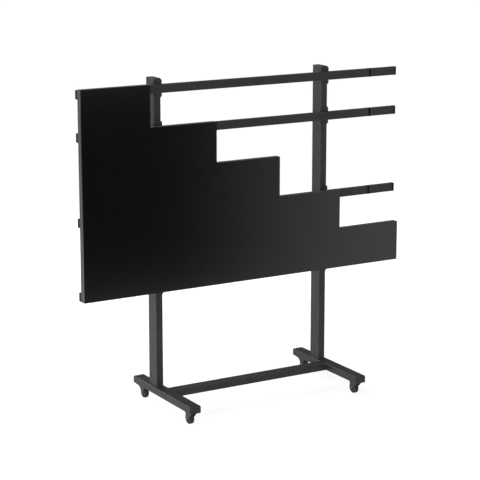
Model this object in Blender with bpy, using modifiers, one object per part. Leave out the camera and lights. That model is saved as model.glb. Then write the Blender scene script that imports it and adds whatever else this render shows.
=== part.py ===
"""Video wall trolley: posts on wheeled feet, four rails and a staircase of LED cabinets.

Metres, +Z up. The origin is on the floor in the middle of the feet. X runs to the right as the
wall's viewer sees it, and Y away from that viewer. Every driving dimension is named below.
Run it with blender --background --python part.py, or from Blender's text editor.
"""

import math

import bmesh
import bpy
from mathutils import Matrix
from mathutils.geometry import convex_hull_2d

# Gap that two pieces keep where one rests on or against the other
SEAT = 0.0003

# Screen: a grid of equal cabinets, with this many rows filled in each column
COLUMN_ROWS = (5, 4, 3, 2, 1)
GRID_ROWS = 5
CABINET_WIDTH = 0.6
CABINET_HEIGHT = 0.3375
CABINET_DEPTH = 0.0586
SCREEN_BOTTOM = 0.992
SCREEN_FRONT = 0.0015

# Back of a cabinet: a rim around a sunk floor, with a raised housing in its middle
FACE_THICKNESS = 0.012
RIM_WIDTH = 0.012
CHANNEL_WIDTH = 0.052
HOUSING_SINK = 0.012

# Rails: box tubes of the grid's full width, each with a plug-in length at both ends. A push-on
# cap has its room past each end, and the end length is counted with it.
RAIL_ROWS = (5, 4, 2, 0)
RAIL_HEIGHT = 0.0695
RAIL_DEPTH = 0.038
RAIL_WALL = 0.0025
RAIL_BORE_ROUND = 0.0005
RAIL_DROP = 0.0095
RAIL_END_LENGTH = 0.27
RAIL_CAP_ROOM = 0.0035
SPIGOT_LENGTH = 0.06
SPIGOT_WALL = 0.003
SPIGOT_BORE_ROUND = 0.0005
SPIGOT_CLEARANCE = 0.0004
BULKHEAD_THICKNESS = 0.006

# Mounting plates between the rails and the posts
PLATE_WIDTH = 0.076
PLATE_HEIGHT = 0.148
PLATE_THICKNESS = 0.006
PLATE_CHAMFER = 0.01
PLATE_BOLT_RADIUS = 0.0045
PLATE_BOLT_INSET = 0.019

# Posts: box tubes that stand on the feet
POST_SPACING = 1.58
POST_SHIFT = 0.007
POST_WIDTH = 0.06
POST_DEPTH = 0.135
POST_WALL = 0.003
POST_BORE_ROUND = 0.001
POST_RISE = 0.0045

# Base: two feet and a crossbar of the same tube
FOOT_LENGTH = 0.984
FOOT_WIDTH = 0.098
FOOT_HEIGHT = 0.058
FOOT_WALL = 0.003
FOOT_BORE_ROUND = 0.002
CROSSBAR_Y = 0.007

# Castor wheel, turned about its axle
WHEEL_STEPS = 36
WHEEL_RADIUS = 0.0475
WHEEL_WIDTH = 0.035
TREAD_ROUND = 0.004
TYRE_THICKNESS = 0.0125
WEB_THICKNESS = 0.016
HUB_RADIUS = 0.013
HUB_WIDTH = 0.039
AXLE_RADIUS = 0.004
AXLE_HEAD_RADIUS = 0.0075
AXLE_HEAD_THICKNESS = 0.004

# Castor fork: a round crown with two legs that trail behind the king pin
TURN_STEPS = 28
SMALL_STEPS = 16
TRAIL = 0.038
WHEEL_HEADROOM = 0.0021
CROWN_RADIUS = 0.039
CROWN_THICKNESS = 0.003
LEG_GAP = 0.0005
LEG_THICKNESS = 0.003
LEG_TOE_RADIUS = 0.011
LEG_FRONT = 0.03
LEG_CORNER = 0.003
EAR_RADIUS = 0.006

# Castor top plate, its raceway and its king pin
RACE_RADIUS = 0.036
RACE_THICKNESS = 0.0035
KING_PIN_RADIUS = 0.006
KING_PIN_HEAD_RADIUS = 0.01
KING_PIN_HEAD_THICKNESS = 0.004
TOP_PLATE_SIZE = 0.088
TOP_PLATE_THICKNESS = 0.004
TOP_PLATE_CORNER = 0.008
FRONT_CASTOR_INSET = 0.0555
REAR_CASTOR_INSET = 0.0715

# Brake pedal: a lever on stub pins between the legs, with a shoe over the tread
PEDAL_WIDTH = 0.026
PEDAL_LENGTH = 0.034
PEDAL_THICKNESS = 0.0035
PEDAL_RISE = 0.008
PEDAL_BOSS_RADIUS = 0.004
PEDAL_PIN_RADIUS = 0.0025
PEDAL_PIN_HEADROOM = 0.0067
SHOE_CLEARANCE = 0.0043
SHOE_ANGLES = (47.0, 41.0, 35.0)
SHOE_THICKNESS = 0.0025

# Heights and depths that follow from the sizes above
WHEEL_Z = WHEEL_RADIUS * math.cos(math.pi / WHEEL_STEPS)
CROWN_Z = WHEEL_Z + WHEEL_RADIUS + WHEEL_HEADROOM
CROWN_TOP = CROWN_Z + CROWN_THICKNESS
RACE_Z = CROWN_TOP + SEAT
TOP_PLATE_Z = RACE_Z + RACE_THICKNESS
FOOT_Z = TOP_PLATE_Z + TOP_PLATE_THICKNESS + SEAT
FOOT_TOP = FOOT_Z + FOOT_HEIGHT
RAIL_FRONT = SCREEN_FRONT + CABINET_DEPTH + SEAT
PLATE_FRONT = RAIL_FRONT + RAIL_DEPTH + SEAT
POST_FRONT = PLATE_FRONT + PLATE_THICKNESS + SEAT
SCREEN_WIDTH = len(COLUMN_ROWS) * CABINET_WIDTH
RAIL_SECTION = (RAIL_DEPTH, RAIL_HEIGHT)

# Places across the trolley, and the castors along a foot
SIDES = {"left": POST_SHIFT - POST_SPACING / 2, "right": POST_SHIFT + POST_SPACING / 2}
CASTOR_PLACES = {
    "front": (FRONT_CASTOR_INSET - FOOT_LENGTH / 2, 0.0),
    "rear": (FOOT_LENGTH / 2 - REAR_CASTOR_INSET, math.pi),
}

# Fork and pedal places, measured back from the king pin and up from the floor
LEG_INNER = HUB_WIDTH / 2 + LEG_GAP
LEG_OUTER = LEG_INNER + LEG_THICKNESS
LEG_TOP = CROWN_Z + CROWN_THICKNESS / 2
PIVOT_Z = LEG_TOP - EAR_RADIUS
PIVOT_REACH = math.sqrt((WHEEL_RADIUS + PEDAL_PIN_HEADROOM) ** 2 - (PIVOT_Z - WHEEL_Z) ** 2)
PIVOT_Y = TRAIL + PIVOT_REACH

ALONG_X = Matrix.Rotation(math.pi / 2, 4, "Y")
QUARTER_TURN = Matrix.Rotation(math.pi / 2, 4, "Z")


def new_collection(name):
    """Collection of the scene with this name."""
    collection = bpy.data.collections.new(name)
    bpy.context.scene.collection.children.link(collection)
    return collection


def paint(name, colour, roughness, metallic=0.0):
    """Principled material of one colour."""
    material = bpy.data.materials.new(name)
    material.use_nodes = True
    shader = material.node_tree.nodes["Principled BSDF"]
    shader.inputs["Base Color"].default_value = (*colour, 1.0)
    shader.inputs["Roughness"].default_value = roughness
    shader.inputs["Metallic"].default_value = metallic
    return material


def mesh_from(bm, name):
    """Mesh of a bmesh, which is freed."""
    mesh = bpy.data.meshes.new(name)
    bm.to_mesh(mesh)
    bm.free()
    return mesh


def box(size, centre=(0.0, 0.0, 0.0)):
    """Bmesh of a box of this size about its centre."""
    bm = bmesh.new()
    bmesh.ops.create_cube(bm, size=1.0)
    bmesh.ops.scale(bm, vec=size, verts=bm.verts)
    bmesh.ops.translate(bm, vec=centre, verts=bm.verts)
    return bm


def bevel_edges(bm, edges, width, segments):
    """Round or chamfer some edges of a bmesh."""
    bmesh.ops.bevel(
        bm, geom=edges, offset=width, segments=segments, profile=0.5, affect="EDGES", material=-1
    )


def shape(name, mesh):
    """Working object for modifiers: shown as wire and left out of the model."""
    obj = bpy.data.objects.new(name, mesh)
    cutters.objects.link(obj)
    obj.hide_render = True
    obj.display_type = "WIRE"
    return obj


def combine(obj, tool, operation):
    """Join a tool to an object, or cut it away, with an exact Boolean."""
    modifier = obj.modifiers.new(tool.name, "BOOLEAN")
    modifier.operation = operation
    modifier.solver = "EXACT"
    modifier.object = tool


def finished_mesh(obj, tools=()):
    """Mesh of an object with its modifiers applied. The object and its tools are removed."""
    bpy.context.view_layer.update()
    depsgraph = bpy.context.evaluated_depsgraph_get()
    mesh = bpy.data.meshes.new_from_object(obj.evaluated_get(depsgraph), depsgraph=depsgraph)
    mesh.name = obj.name
    for used in (obj, *tools):
        bpy.data.objects.remove(used, do_unlink=True)
    return mesh


def turned(name, profile, steps, closed=False):
    """Working object turned about Z from (radius, height) points, top to bottom outside."""
    bm = bmesh.new()
    points = [bm.verts.new((radius, 0.0, height)) for radius, height in profile]
    for first, second in zip(points, points[1:]):
        bm.edges.new((first, second))
    if closed:
        bm.edges.new((points[-1], points[0]))
    obj = shape(name, mesh_from(bm, name))
    screw = obj.modifiers.new("turn", "SCREW")
    screw.steps = steps
    screw.render_steps = steps
    screw.use_merge_vertices = True
    screw.merge_threshold = 0.00005
    return obj


def slab(name, outline, thickness, centre_x=0.0):
    """Plate whose outline is given as (y, z) points, with its thickness along X."""
    bm = bmesh.new()
    face = bm.faces.new([bm.verts.new((centre_x - thickness / 2, y, z)) for y, z in outline])
    grown = bmesh.ops.extrude_face_region(bm, geom=[face])
    moved = [item for item in grown["geom"] if isinstance(item, bmesh.types.BMVert)]
    bmesh.ops.translate(bm, vec=(thickness, 0.0, 0.0), verts=moved)
    bmesh.ops.recalc_face_normals(bm, faces=bm.faces)
    return mesh_from(bm, name)


def hull_outline(circles):
    """Outline of a band stretched round some circles, each given as (y, z, radius)."""
    points = []
    for y, z, radius in circles:
        for step in range(SMALL_STEPS):
            angle = 2 * math.pi * step / SMALL_STEPS
            points.append((y + radius * math.cos(angle), z + radius * math.sin(angle)))
    return [points[index] for index in convex_hull_2d(points)]


def tube_mesh(name, size, axis, wall, bore_round):
    """Box tube along one axis, open at both ends, from a shell with a wall thickness. Its outer
    corners are rounder than its bore's by the wall."""
    bm = box(size)
    ends = [face for face in bm.faces if abs(face.normal[axis]) > 0.5]
    bmesh.ops.delete(bm, geom=ends, context="FACES_ONLY")
    long_edges = [edge for edge in bm.edges if not edge.is_boundary]
    bevel_edges(bm, long_edges, wall + bore_round, 3)
    obj = shape(name, mesh_from(bm, name))
    shell = obj.modifiers.new("wall", "SOLIDIFY")
    shell.thickness = wall
    shell.offset = -1.0
    shell.use_even_offset = True
    return finished_mesh(obj)


def add_part(name, mesh, material, location, parent=None):
    """One piece of the model, which may share its mesh with its like."""
    obj = bpy.data.objects.new(name, mesh)
    parts.objects.link(obj)
    if not mesh.materials:
        mesh.materials.append(material)
    obj.parent = parent
    obj.location = location
    return obj


def round_shading(mesh):
    """Smooth shading that keeps the corners sharp."""
    mesh.shade_smooth()
    mesh.set_sharp_from_angle(angle=math.radians(35))
    return mesh


def cabinet_mesh():
    """Cabinet with a flat face, a sunk back inside its rim, and a raised housing there."""
    size = (CABINET_WIDTH - SEAT, CABINET_DEPTH, CABINET_HEIGHT - SEAT)
    bm = box(size, (0.0, CABINET_DEPTH / 2, 0.0))
    back = [face for face in bm.faces if face.normal.y > 0.5]
    bmesh.ops.inset_region(bm, faces=back, thickness=RIM_WIDTH, use_even_offset=True)
    sink = CABINET_DEPTH - FACE_THICKNESS
    sunk = sink_face(bm, back[0], -sink)
    bmesh.ops.inset_region(bm, faces=[sunk], thickness=CHANNEL_WIDTH, use_even_offset=True)
    sink_face(bm, sunk, sink - HOUSING_SINK)
    return mesh_from(bm, "cabinet")


def sink_face(bm, face, travel):
    """Extrude one face along Y, down into the piece or up out of it."""
    grown = bmesh.ops.extrude_discrete_faces(bm, faces=[face])
    bmesh.ops.translate(bm, vec=(0.0, travel, 0.0), verts=grown["faces"][0].verts)
    return grown["faces"][0]


def add_cabinets():
    """Cabinets of the staircase, column by column from the bottom row up."""
    mesh = cabinet_mesh()
    for column, rows in enumerate(COLUMN_ROWS, start=1):
        for row in range(1, rows + 1):
            x = (column - 0.5) * CABINET_WIDTH - SCREEN_WIDTH / 2
            z = SCREEN_BOTTOM + (row - 0.5) * CABINET_HEIGHT
            add_part(f"cabinet_column{column}_row{row}", mesh, display, (x, SCREEN_FRONT, z))


def rail_centre_z(row):
    """Middle height of the rail at the top of a row. The one below the screen is flush with it."""
    if row == 0:
        return SCREEN_BOTTOM + RAIL_HEIGHT / 2
    return SCREEN_BOTTOM + row * CABINET_HEIGHT - RAIL_DROP - RAIL_HEIGHT / 2


def rail_end_mesh():
    """Plug-in rail length that runs to +X, with a bulkhead and a spigot at its inner end."""
    name = "rail_end"
    bore_depth = RAIL_DEPTH - 2 * RAIL_WALL
    bore_height = RAIL_HEIGHT - 2 * RAIL_WALL
    length = RAIL_END_LENGTH - RAIL_CAP_ROOM
    tube = tube_mesh(name, (length, *RAIL_SECTION), 0, RAIL_WALL, RAIL_BORE_ROUND)
    tube.transform(Matrix.Translation((length / 2, 0.0, 0.0)))
    bulkhead_size = (BULKHEAD_THICKNESS, bore_depth + RAIL_WALL, bore_height + RAIL_WALL)
    bulkhead = box(bulkhead_size, (SEAT + BULKHEAD_THICKNESS / 2, 0.0, 0.0))
    spigot_size = (
        SPIGOT_LENGTH + BULKHEAD_THICKNESS / 2,
        bore_depth - 2 * SPIGOT_CLEARANCE,
        bore_height - 2 * SPIGOT_CLEARANCE,
    )
    spigot = tube_mesh("spigot", spigot_size, 0, SPIGOT_WALL, SPIGOT_BORE_ROUND)
    spigot.transform(Matrix.Translation((BULKHEAD_THICKNESS / 2 - spigot_size[0] / 2, 0.0, 0.0)))
    obj = shape(name, tube)
    tools = [shape("bulkhead", mesh_from(bulkhead, "bulkhead")), shape("spigot", spigot)]
    for tool in tools:
        combine(obj, tool, "UNION")
    return finished_mesh(obj, tools)


def add_rails():
    """Four rails, each a middle length with a plug-in length at both ends."""
    middle_length = SCREEN_WIDTH - 2 * (RAIL_END_LENGTH + SEAT)
    middle = tube_mesh("rail", (middle_length, *RAIL_SECTION), 0, RAIL_WALL, RAIL_BORE_ROUND)
    end = rail_end_mesh()
    y = RAIL_FRONT + RAIL_DEPTH / 2
    for number, row in enumerate(RAIL_ROWS, start=1):
        z = rail_centre_z(row)
        add_part(f"rail_{number}_middle", middle, coated_steel, (0.0, y, z))
        joint_x = SCREEN_WIDTH / 2 - RAIL_END_LENGTH
        add_part(f"rail_{number}_end_right", end, coated_steel, (joint_x, y, z))
        left = add_part(f"rail_{number}_end_left", end, coated_steel, (-joint_x, y, z))
        left.rotation_euler.z = math.pi


def plate_mesh():
    """Mounting plate with clipped corners and a bolt hole above and below the rail."""
    across = PLATE_WIDTH / 2
    up = PLATE_HEIGHT / 2
    clip = PLATE_CHAMFER
    right = [(across, clip - up), (across, up - clip), (across - clip, up)]
    left = [(clip - across, up), (-across, up - clip), (-across, clip - up)]
    outline = right + left + [(clip - across, -up), (across - clip, -up)]
    obj = shape("mounting_plate", slab("mounting_plate", outline, PLATE_THICKNESS))
    tools = []
    for height in (up - PLATE_BOLT_INSET, PLATE_BOLT_INSET - up):
        tool = cylinder_tool("bolt_hole", PLATE_BOLT_RADIUS, 2 * PLATE_THICKNESS, (0.0, 0.0, height))
        combine(obj, tool, "DIFFERENCE")
        tools.append(tool)
    mesh = finished_mesh(obj, tools)
    mesh.transform(QUARTER_TURN)
    return mesh


def cylinder_tool(name, radius, length, centre):
    """Cylinder along X, to cut a hole with."""
    bm = bmesh.new()
    bmesh.ops.create_cone(
        bm, cap_ends=True, segments=SMALL_STEPS, radius1=radius, radius2=radius, depth=length
    )
    mesh = mesh_from(bm, name)
    mesh.transform(Matrix.Translation(centre) @ ALONG_X)
    return shape(name, mesh)


def add_plates():
    """One mounting plate where each rail crosses each post."""
    mesh = plate_mesh()
    y = PLATE_FRONT + PLATE_THICKNESS / 2
    for number, row in enumerate(RAIL_ROWS, start=1):
        for side, x in SIDES.items():
            add_part(f"plate_{number}_{side}", mesh, coated_steel, (x, y, rail_centre_z(row)))


def add_posts():
    """Posts from the feet to just above the top mounting plates."""
    bottom = FOOT_TOP + SEAT
    top = rail_centre_z(GRID_ROWS) + PLATE_HEIGHT / 2 + POST_RISE
    size = (POST_WIDTH, POST_DEPTH, top - bottom)
    mesh = tube_mesh("post", size, 2, POST_WALL, POST_BORE_ROUND)
    for side, x in SIDES.items():
        place = (x, POST_FRONT + POST_DEPTH / 2, (top + bottom) / 2)
        add_part(f"post_{side}", mesh, coated_steel, place)


def add_base():
    """Feet along Y under the posts, and the crossbar that ties them."""
    size = (FOOT_WIDTH, FOOT_LENGTH, FOOT_HEIGHT)
    foot = tube_mesh("foot", size, 1, FOOT_WALL, FOOT_BORE_ROUND)
    z = FOOT_Z + FOOT_HEIGHT / 2
    for side, x in SIDES.items():
        add_part(f"foot_{side}", foot, coated_steel, (x, 0.0, z))
    size = (POST_SPACING - FOOT_WIDTH - 2 * SEAT, FOOT_WIDTH, FOOT_HEIGHT)
    crossbar = tube_mesh("crossbar", size, 0, FOOT_WALL, FOOT_BORE_ROUND)
    add_part("crossbar", crossbar, coated_steel, (POST_SHIFT, CROSSBAR_Y, z))


def top_plate_mesh():
    """Castor top plate joined to its raceway ring and king pin."""
    centre = (0.0, 0.0, TOP_PLATE_Z + TOP_PLATE_THICKNESS / 2)
    plate = box((TOP_PLATE_SIZE, TOP_PLATE_SIZE, TOP_PLATE_THICKNESS), centre)
    upright = [edge for edge in plate.edges if abs(edge.verts[0].co.z - edge.verts[1].co.z) > SEAT]
    bevel_edges(plate, upright, TOP_PLATE_CORNER, 3)
    head_top = CROWN_Z - SEAT
    profile = [
        (0.0, centre[2]),
        (RACE_RADIUS, centre[2]),
        (RACE_RADIUS, RACE_Z),
        (KING_PIN_RADIUS, RACE_Z),
        (KING_PIN_RADIUS, head_top),
        (KING_PIN_HEAD_RADIUS, head_top),
        (KING_PIN_HEAD_RADIUS, head_top - KING_PIN_HEAD_THICKNESS),
        (0.0, head_top - KING_PIN_HEAD_THICKNESS),
    ]
    obj = shape("castor_plate", mesh_from(plate, "castor_plate"))
    pin = turned("king_pin", profile, TURN_STEPS)
    combine(obj, pin, "UNION")
    return round_shading(finished_mesh(obj, [pin]))


def fork_mesh():
    """Crown ring joined to two legs, with holes for the axle and the pedal's pins."""
    bore = KING_PIN_RADIUS + SEAT
    ring = [(CROWN_RADIUS, CROWN_TOP), (CROWN_RADIUS, CROWN_Z), (bore, CROWN_Z), (bore, CROWN_TOP)]
    obj = turned("castor_fork", ring, TURN_STEPS, closed=True)
    outline = hull_outline(
        [
            (LEG_CORNER - LEG_FRONT, LEG_TOP - LEG_CORNER, LEG_CORNER),
            (PIVOT_Y, PIVOT_Z, EAR_RADIUS),
            (TRAIL, WHEEL_Z, LEG_TOE_RADIUS),
        ]
    )
    tools = []
    for side in (-1, 1):
        leg = slab("leg", outline, LEG_THICKNESS, side * (LEG_INNER + LEG_THICKNESS / 2))
        tools.append(shape("leg", leg))
        combine(obj, tools[-1], "UNION")
    holes = (("axle_hole", AXLE_RADIUS, (0.0, TRAIL, WHEEL_Z)),
             ("pin_hole", PEDAL_PIN_RADIUS, (0.0, PIVOT_Y, PIVOT_Z)))
    for name, radius, centre in holes:
        tools.append(cylinder_tool(name, radius + SEAT, 3 * LEG_OUTER, centre))
        combine(obj, tools[-1], "DIFFERENCE")
    return round_shading(finished_mesh(obj, tools))


def wheel_mesh():
    """Wheel turned from its half section: round tread, sunk web, hub and bore. It lies along X,
    and a flat of its tread is at the bottom."""
    half = WHEEL_WIDTH / 2
    side = []
    for angle in (0.0, 45.0, 90.0):
        turn = math.radians(angle)
        radius = WHEEL_RADIUS - TREAD_ROUND + TREAD_ROUND * math.cos(turn)
        side.append((radius, half - TREAD_ROUND + TREAD_ROUND * math.sin(turn)))
    rim = WHEEL_RADIUS - TYRE_THICKNESS
    side += [(rim, half), (rim, WEB_THICKNESS / 2), (HUB_RADIUS, WEB_THICKNESS / 2)]
    side += [(HUB_RADIUS, HUB_WIDTH / 2), (AXLE_RADIUS + SEAT, HUB_WIDTH / 2)]
    profile = [(radius, -height) for radius, height in side] + side[::-1]
    mesh = finished_mesh(turned("castor_wheel", profile, WHEEL_STEPS, closed=True))
    mesh.transform(ALONG_X @ Matrix.Rotation(math.pi / WHEEL_STEPS, 4, "Z"))
    return round_shading(mesh)


def axle_mesh():
    """Axle pin along X with a head outside each leg."""
    seat = LEG_OUTER + SEAT
    end = seat + AXLE_HEAD_THICKNESS
    top = [(0.0, end), (AXLE_HEAD_RADIUS, end), (AXLE_HEAD_RADIUS, seat), (AXLE_RADIUS, seat)]
    profile = top + [(radius, -height) for radius, height in top[::-1]]
    mesh = finished_mesh(turned("castor_axle", profile, SMALL_STEPS))
    mesh.transform(ALONG_X)
    return round_shading(mesh)


def pedal_mesh():
    """Brake pedal about its pivot: a rising lever, a shoe that follows the tread, and stub pins."""
    axle_y = -PIVOT_REACH
    axle_z = WHEEL_Z - PIVOT_Z
    reach = WHEEL_RADIUS + SHOE_CLEARANCE
    shoe = []
    for angle in SHOE_ANGLES:
        turn = math.radians(angle)
        shoe.append((axle_y + reach * math.cos(turn), axle_z + reach * math.sin(turn)))
    shoe_end = (shoe[-1][0] + SHOE_THICKNESS, shoe[-1][1] + SHOE_THICKNESS / 2)
    lever = [
        (shoe_end[0], PEDAL_THICKNESS / 2),
        (PEDAL_LENGTH, PEDAL_RISE - PEDAL_THICKNESS),
        (PEDAL_LENGTH + PEDAL_THICKNESS / 2, PEDAL_RISE - PEDAL_THICKNESS / 2),
        (PEDAL_LENGTH, PEDAL_RISE),
        (0.0, PEDAL_BOSS_RADIUS),
        (-PEDAL_BOSS_RADIUS / 2, 0.0),
    ]
    obj = shape("brake_pedal", slab("brake_pedal", shoe + [shoe_end] + lever, PEDAL_WIDTH))
    boss_end = LEG_INNER - LEG_GAP
    top = [
        (0.0, LEG_OUTER),
        (PEDAL_PIN_RADIUS, LEG_OUTER),
        (PEDAL_PIN_RADIUS, boss_end),
        (PEDAL_BOSS_RADIUS, boss_end),
    ]
    boss = turned("boss", top + [(radius, -height) for radius, height in top[::-1]], SMALL_STEPS)
    boss.rotation_euler.y = math.pi / 2
    combine(obj, boss, "UNION")
    return finished_mesh(obj, [boss])


def add_castors():
    """Four castors under the feet, their wheels trailing inward."""
    top_plate = top_plate_mesh()
    fork = fork_mesh()
    wheel = wheel_mesh()
    axle = axle_mesh()
    pedal = pedal_mesh()
    for side, x in SIDES.items():
        for end, (y, heading) in CASTOR_PLACES.items():
            place = f"{end}_{side}"
            swivel = bpy.data.objects.new(f"swivel_axis_{place}", None)
            parts.objects.link(swivel)
            swivel.location = (x, y, 0.0)
            swivel.rotation_euler.z = heading
            add_part(f"castor_plate_{place}", top_plate, coated_steel, (0.0, 0.0, 0.0), swivel)
            add_part(f"castor_fork_{place}", fork, castor_black, (0.0, 0.0, 0.0), swivel)
            add_part(f"castor_axle_{place}", axle, bright_steel, (0.0, TRAIL, WHEEL_Z), swivel)
            add_part(f"castor_wheel_{place}", wheel, tyre_black, (0.0, TRAIL, WHEEL_Z), swivel)
            add_part(f"brake_pedal_{place}", pedal, castor_black, (0.0, PIVOT_Y, PIVOT_Z), swivel)


for leftover in list(bpy.data.objects):
    bpy.data.objects.remove(leftover, do_unlink=True)

parts = new_collection("video_wall_trolley")
cutters = new_collection("cutters")

display = paint("black_display", (0.012, 0.012, 0.013), 0.35)
coated_steel = paint("black_powder_coat", (0.032, 0.032, 0.033), 0.5)
castor_black = paint("castor_black", (0.025, 0.025, 0.026), 0.45)
bright_steel = paint("zinc_plated_steel", (0.45, 0.45, 0.46), 0.35, 1.0)
tyre_black = paint("tyre_black", (0.03, 0.03, 0.031), 0.7)

add_base()
add_posts()
add_plates()
add_rails()
add_cabinets()
add_castors()
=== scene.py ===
"""Video wall trolley: finish and small parts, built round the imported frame. Metres, +Z up."""
import math

import bmesh
import bpy
from mathutils import Matrix, Vector


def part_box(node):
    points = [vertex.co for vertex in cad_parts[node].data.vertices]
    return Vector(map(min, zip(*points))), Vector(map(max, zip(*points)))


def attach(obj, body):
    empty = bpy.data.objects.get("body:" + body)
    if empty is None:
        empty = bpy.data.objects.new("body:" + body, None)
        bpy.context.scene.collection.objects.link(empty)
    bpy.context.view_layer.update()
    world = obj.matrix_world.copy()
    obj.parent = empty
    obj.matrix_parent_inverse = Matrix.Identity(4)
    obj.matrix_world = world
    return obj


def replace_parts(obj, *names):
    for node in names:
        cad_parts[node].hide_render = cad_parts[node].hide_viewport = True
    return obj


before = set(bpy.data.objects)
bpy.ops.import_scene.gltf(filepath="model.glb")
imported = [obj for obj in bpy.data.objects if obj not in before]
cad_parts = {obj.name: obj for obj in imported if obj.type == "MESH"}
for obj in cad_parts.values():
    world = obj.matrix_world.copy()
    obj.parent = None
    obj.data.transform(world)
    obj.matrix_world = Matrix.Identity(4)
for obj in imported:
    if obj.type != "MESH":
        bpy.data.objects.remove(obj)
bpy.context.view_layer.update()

# Camera: it stands to the left of the wall and a little above it, well back with a long lens.
# The frame is shifted down a little, so that the trolley sits in the middle of it.
CAMERA_PLACE = (-6.969, -11.7155, 4.436)
CAMERA_PITCH = -12.01
CAMERA_HEADING = -30.44
CAMERA_LENS = 127.1
CAMERA_SENSOR = 36.0
CAMERA_SHIFT = -0.05


def new_object(name, data):
    """Object in the scene for a camera, lamp, mesh or curve."""
    obj = bpy.data.objects.new(name, data)
    bpy.context.scene.collection.objects.link(obj)
    return obj


camera = new_object("camera", bpy.data.cameras.new("camera"))
bpy.context.scene.camera = camera
camera.location = CAMERA_PLACE
camera.rotation_euler = (math.radians(90 + CAMERA_PITCH), 0.0, math.radians(CAMERA_HEADING))
camera.data.lens = CAMERA_LENS
camera.data.sensor_width = CAMERA_SENSOR
camera.data.shift_y = CAMERA_SHIFT
bpy.context.scene.view_settings.view_transform = "Standard"


# Studio: a pale paper floor in a white room. Both show nearly white to the camera and in
# reflections, and light the trolley less than that, so the floor keeps its soft shadow.
WHITE = (1.0, 1.0, 1.0, 1.0)
ROOM_LIGHT = 0.6
CEILING_LIGHT = 0.1
FLOOR_HALF = 40.0
FLOOR_PAINT = 0.55
FLOOR_ROUGHNESS = 0.9
FLOOR_NEAR = 2.0
FLOOR_FAR = 9.0
FLOOR_GLOW_NEAR = 0.76
FLOOR_GLOW_FAR = 0.86


def link(tree, *ends):
    """Join an output socket to an input socket of a node tree."""
    tree.links.new(*ends)


def calculate(tree, operation, first, second=None):
    """Math node on a value and, where it takes a second, a number or another value."""
    node = tree.nodes.new("ShaderNodeMath")
    node.operation = operation
    link(tree, first, node.inputs[0])
    if isinstance(second, float):
        node.inputs[1].default_value = second
    elif second is not None:
        link(tree, second, node.inputs[1])
    return node.outputs[0]


def spread(tree, value, low, high, start=0.3, end=0.7):
    """A value that goes from start to end, as noise mostly does, made to run from low to high."""
    band = tree.nodes.new("ShaderNodeMapRange")
    band.inputs["From Min"].default_value = start
    band.inputs["From Max"].default_value = end
    band.inputs["To Min"].default_value = low
    band.inputs["To Max"].default_value = high
    link(tree, value, band.inputs["Value"])
    return band.outputs["Result"]


def background_rays(tree):
    """1 for the rays that show the background: seen straight, in a reflection or through glass."""
    path = tree.nodes.new("ShaderNodeLightPath").outputs
    seen = calculate(tree, "MAXIMUM", path["Is Camera Ray"], path["Is Glossy Ray"])
    return calculate(tree, "MAXIMUM", seen, path["Is Transmission Ray"])


def new_material(name):
    """Material, its node tree and its shader."""
    material = bpy.data.materials.new(name)
    material.use_nodes = True
    return material, material.node_tree, material.node_tree.nodes["Principled BSDF"]


def new_mesh(name, bm):
    """Mesh of a bmesh, which is freed."""
    mesh = bpy.data.meshes.new(name)
    bm.to_mesh(mesh)
    bm.free()
    return mesh


world = bpy.data.worlds.new("room")
bpy.context.scene.world = world
world.use_nodes = True
tree = world.node_tree
direction = tree.nodes.new("ShaderNodeTexCoord")
apart = tree.nodes.new("ShaderNodeSeparateXYZ")
link(tree, direction.outputs["Generated"], apart.inputs[0])
level = tree.nodes.new("ShaderNodeMapRange")
link(tree, spread(tree, apart.outputs["Z"], ROOM_LIGHT, CEILING_LIGHT, 0.0, 1.0), level.inputs["To Min"])
level.inputs["To Max"].default_value = 1.0
link(tree, background_rays(tree), level.inputs["Value"])
link(tree, level.outputs["Result"], tree.nodes["Background"].inputs["Strength"])
tree.nodes["Background"].inputs["Color"].default_value = WHITE

paper, tree, shader = new_material("floor_paper")
shader.inputs["Base Color"].default_value = (FLOOR_PAINT, FLOOR_PAINT, FLOOR_PAINT, 1.0)
shader.inputs["Roughness"].default_value = FLOOR_ROUGHNESS
shader.inputs["Specular IOR Level"].default_value = 0.0
shader.inputs["Emission Color"].default_value = WHITE
place = tree.nodes.new("ShaderNodeTexCoord")
away = tree.nodes.new("ShaderNodeVectorMath")
away.operation = "LENGTH"
link(tree, place.outputs["Object"], away.inputs[0])
level = spread(tree, away.outputs["Value"], FLOOR_GLOW_NEAR, FLOOR_GLOW_FAR, FLOOR_NEAR, FLOOR_FAR)
glow = calculate(tree, "MULTIPLY", background_rays(tree), level)
link(tree, glow, shader.inputs["Emission Strength"])

bm = bmesh.new()
bmesh.ops.create_grid(bm, x_segments=1, y_segments=1, size=FLOOR_HALF)
floor = new_object("floor", new_mesh("floor", bm))
floor.data.materials.append(paper)


# Reflection cards: boards that only reflections see. The one in front fades from black to white,
# so that the screen's gloss runs from deep black to grey. Two behind keep the tops of the tubes
# dark, and dim the left faces as they rise.
CARD_LEFT = -2.0
CARD_RIGHT = 7.0
CARD_TOP = 2.45
CARD_DISTANCE = 3.0
CARD_BLACK_END = 0.65
CARD_WHITE_START = 3.8
CARD_LEVEL = 1.1
BOARD_LEFT = 0.3
BOARD_RIGHT = 12.0
BOARD_TOP = 5.6
BOARD_DISTANCE = 6.0
BOARD_LEVEL = 0.12
SIDE_BOARD_LEFT = -9.0
SIDE_BOARD_TOP = 1.6
SIDE_BOARD_FADE = 1.3
SIDE_BOARD_LEVELS = (1.0, 0.4)


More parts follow.
